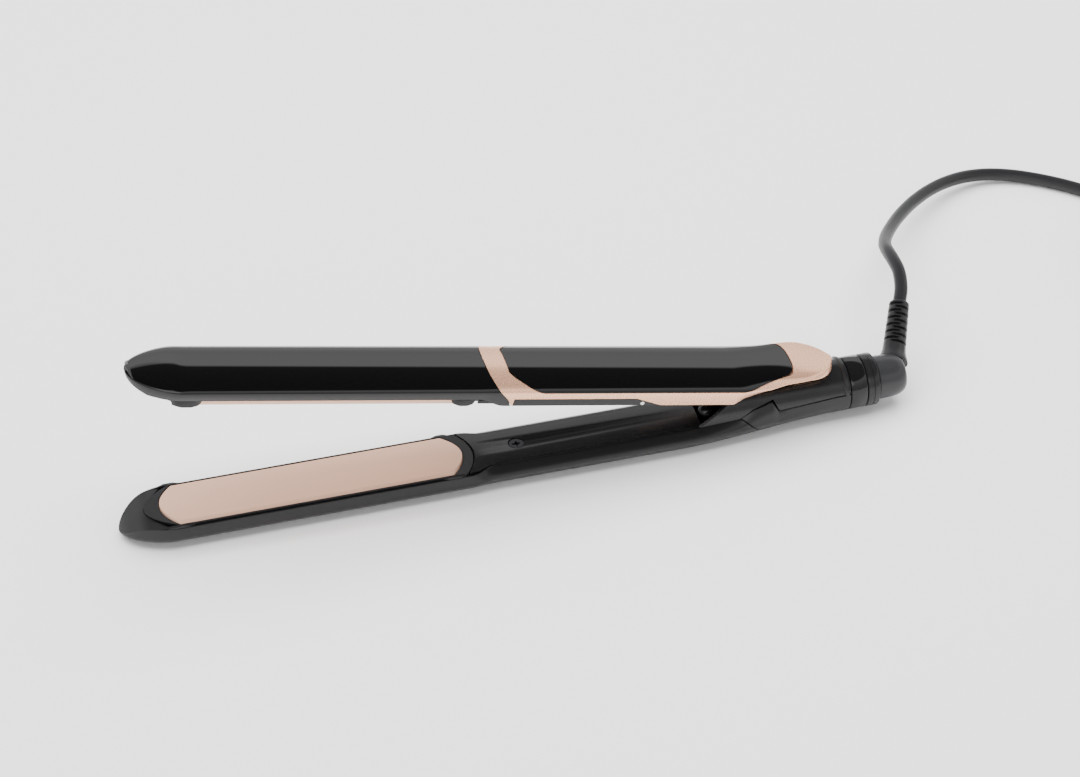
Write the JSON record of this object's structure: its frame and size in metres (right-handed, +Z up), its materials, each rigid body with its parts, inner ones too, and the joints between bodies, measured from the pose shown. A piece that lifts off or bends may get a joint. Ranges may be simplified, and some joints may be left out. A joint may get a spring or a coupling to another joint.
{
  "type": "flat iron",
  "caption": "Hair straightening iron with two hinged arms, floating coated plates, lock ring and swivel mains cord, lying open.",
  "frame": {"origin": "centre of the iron's footprint, on the surface it lies on; the cord, plug and coil aren't counted", "axes": "+X along the lower arm from the tips to the tail, +Y across the arms to the far side, +Z up, towards the upper arm"},
  "size_m": [0.5268, 0.1661, 0.0804],
  "materials": {
    "gloss_black": "high gloss",
    "matte_black": "fine matt",
    "dark_grey": "satin",
    "rose_gold": "metallic satin lacquer",
    "rose_ceramic": "smooth ceramic coat",
    "steel": "plain",
    "brass": "bright",
    "heater_alumina": "unglazed",
    "silicone": "matt",
    "board_green": "solder mask",
    "pale_light": "clear",
    "cord_rubber": "satin"
  },
  "bodies": {
    "lower_arm": {"lower_outer_shell": "matte_black", "lower_inner_cover": "matte_black", "cover_screw": "steel", "lower_plate_carrier": "matte_black", "lower_cushion_front": "silicone", "lower_cushion_rear": "silicone", "arm_bumper": "gloss_black", "tail_lower_cover": "matte_black", "tail_housing": "dark_grey", "hinge_pin": "steel", "opening_spring": "steel", "swivel_collar": "matte_black", "cord_tube": "cord_rubber", "cord_coil": "cord_rubber", "coil_tie": "matte_black", "plug_body": "matte_black", "plug_pin_a": "brass", "plug_pin_b": "brass"},
    "lower_plate_unit": {"lower_plate": "rose_ceramic", "lower_heater": "heater_alumina", "lower_heater_clamp": "steel", "lower_thermistor": "board_green"},
    "upper_arm": {"upper_outer_shell": "gloss_black", "upper_trim": "rose_gold", "handle_insert": "gloss_black", "control_strip": "matte_black", "far_side_strip": "matte_black", "status_light": "pale_light", "upper_plate_carrier": "matte_black", "upper_cushion_front": "silicone", "upper_cushion_rear": "silicone", "upper_inner_cover": "matte_black", "circuit_board": "board_green", "upper_hinge_knuckle": "dark_grey"},
    "upper_plate_unit": {"upper_plate": "rose_ceramic", "upper_heater": "heater_alumina", "upper_heater_clamp": "steel", "upper_thermistor": "board_green"},
    "power_key": {"power_button": "dark_grey"},
    "plus_key": {"plus_button": "dark_grey"},
    "minus_key": {"minus_button": "dark_grey"},
    "ring": {"lock_ring": "gloss_black"},
    "latch": {"lock_latch": "steel"},
    "swivel": {"swivel_spindle": "dark_grey", "contact_ring_a": "brass", "contact_ring_b": "brass", "retaining_clip": "steel", "cord_elbow": "dark_grey"}
  },
  "joints": [
    {"name": "arm_hinge", "type": "hinge", "parent": "lower_arm", "child": "upper_arm", "pos_m": [0.13475, 0, 0.0115], "axis": [0, 1, 0], "range_deg": [-11.9, 0], "stiffness_Nm_per_rad": 0.35, "springref_deg": 57.3},
    {"name": "lower_plate_float", "type": "slide", "parent": "lower_arm", "child": "lower_plate_unit", "axis": [0, 0, -1], "range_m": [0, 0.001], "stiffness_N_per_m": 2500, "springref_m": -0.0003},
    {"name": "upper_plate_float", "type": "slide", "parent": "upper_arm", "child": "upper_plate_unit", "axis": [0.2062, 0, 0.9785], "range_m": [0, 0.001], "stiffness_N_per_m": 2500, "springref_m": -0.0003},
    {"name": "power_press", "type": "slide", "parent": "upper_arm", "child": "power_key", "axis": [0.2062, 0, 0.9785], "range_m": [0, 0.0006], "stiffness_N_per_m": 1500, "springref_m": -0.0004},
    {"name": "plus_press", "type": "slide", "parent": "upper_arm", "child": "plus_key", "axis": [0.2062, 0, 0.9785], "range_m": [0, 0.0006], "stiffness_N_per_m": 1500, "springref_m": -0.0004},
    {"name": "minus_press", "type": "slide", "parent": "upper_arm", "child": "minus_key", "axis": [0.2062, 0, 0.9785], "range_m": [0, 0.0006], "stiffness_N_per_m": 1500, "springref_m": -0.0004},
    {"name": "lock_turn", "type": "hinge", "parent": "lower_arm", "child": "ring", "pos_m": [0.14455, 0, 0.0115], "axis": [1, 0, 0], "range_deg": [0, 30]},
    {"name": "latch_slide", "type": "slide", "parent": "lower_arm", "child": "latch", "axis": [-1, 0, 0], "range_m": [0, 0.00314]},
    {"name": "cord_swivel", "type": "hinge", "parent": "lower_arm", "child": "swivel", "pos_m": [0.16025, 0, 0.0115], "axis": [1, 0, 0], "continuous": true}
  ],
  "couplings": [
    {"joint": "lock_turn", "follows": "latch_slide", "rad_per_m": 166.67}
  ]
}
